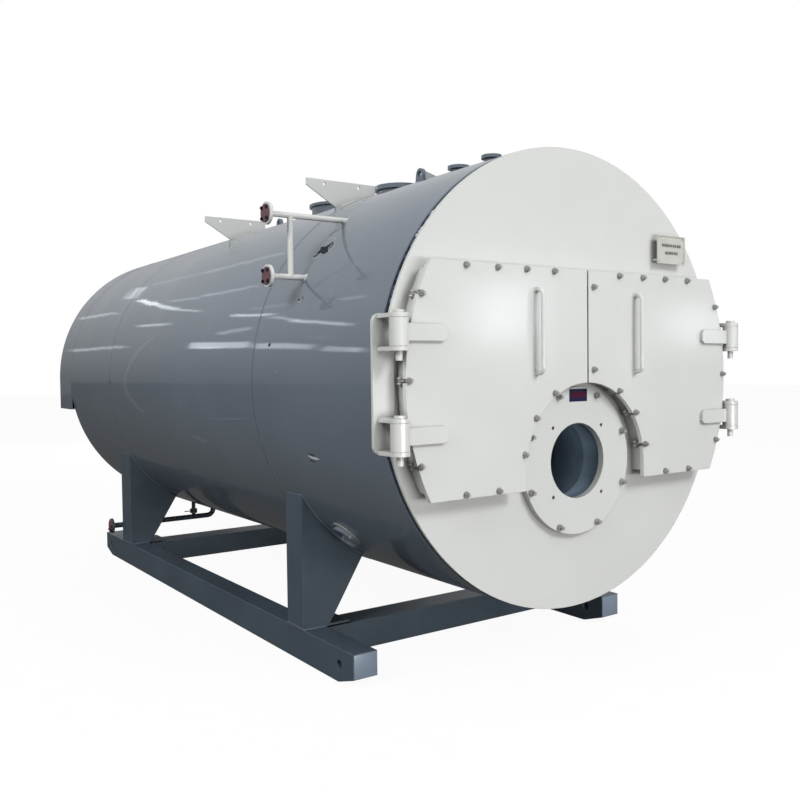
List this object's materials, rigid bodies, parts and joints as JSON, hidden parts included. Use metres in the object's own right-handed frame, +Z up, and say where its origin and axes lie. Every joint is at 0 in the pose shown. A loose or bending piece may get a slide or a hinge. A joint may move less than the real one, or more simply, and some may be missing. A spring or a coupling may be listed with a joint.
{
  "type": "industrial boiler",
  "caption": "Horizontal fire-tube boiler on a skid, with hinged smokebox doors round an arched burner opening, top nozzles and water columns.",
  "frame": {"origin": "on the ground, under the middle of the whole boiler", "axes": "+X to the right seen from the burner end, +Y from the burner end to the rear, +Z up"},
  "size_m": [2.712, 6.23, 3.0779],
  "materials": {
    "shell_paint": "gloss enamel",
    "front_paint": "gloss enamel",
    "skid_paint": "satin enamel",
    "bare_steel": "zinc plated",
    "blind_paint": "red-brown primer",
    "boiler_plate": "mill scale",
    "refractory": "cast refractory",
    "seal": "woven rope",
    "neck_paint": "dark primer",
    "nameplate": "bare sheet"
  },
  "bodies": {
    "boiler": {"burner_plate": "front_paint", "burner_plate_studs": "bare_steel", "burner_throat": "refractory", "clamp_lugs": "front_paint", "door_seal": "seal", "drain_pipe": "skid_paint", "flue_outlet": "shell_paint", "front_cross_beam": "skid_paint", "front_end_plate": "front_paint", "front_legs": "skid_paint", "front_platform_brackets": "front_paint", "front_tube_sheet": "boiler_plate", "furnace_collar": "boiler_plate", "furnace_end": "boiler_plate", "furnace_tube": "boiler_plate", "hand_holes": "shell_paint", "hinge_brackets": "front_paint", "hinge_pins": "front_paint", "lifting_lugs": "shell_paint", "manhole": "shell_paint", "nameplate": "nameplate", "neck_ring": "neck_paint", "pipe_blinds": "blind_paint", "rear_cross_beam": "skid_paint", "rear_end_plate": "shell_paint", "rear_inspection_cover": "shell_paint", "rear_legs": "skid_paint", "rear_platform_brackets": "front_paint", "rear_smokebox": "shell_paint", "rear_smokebox_cover": "shell_paint", "safety_valve_nozzle": "shell_paint", "shell_front_course": "shell_paint", "shell_middle_course": "shell_paint", "shell_rear_course": "shell_paint", "skid_beams": "skid_paint", "smokebox_frame": "front_paint", "steam_outlet": "shell_paint", "swing_bolts": "bare_steel", "vent_nozzle": "shell_paint", "water_columns": "front_paint"},
    "left_door": {"left_door_handle": "front_paint", "left_door_lining": "refractory", "left_door_nuts": "bare_steel", "left_door_plate": "front_paint", "left_hinge_straps": "front_paint"},
    "right_door": {"right_door_handle": "front_paint", "right_door_lining": "refractory", "right_door_nuts": "bare_steel", "right_door_plate": "front_paint", "right_hinge_straps": "front_paint"}
  },
  "joints": [
    {"name": "left_door_swing", "type": "hinge", "parent": "boiler", "child": "left_door", "pos_m": [-1.245, -3.068, 1.668], "axis": [0, 0, -1], "range_deg": [0, 110]},
    {"name": "right_door_swing", "type": "hinge", "parent": "boiler", "child": "right_door", "pos_m": [1.245, -3.068, 1.668], "axis": [0, 0, 1], "range_deg": [0, 110]}
  ]
}
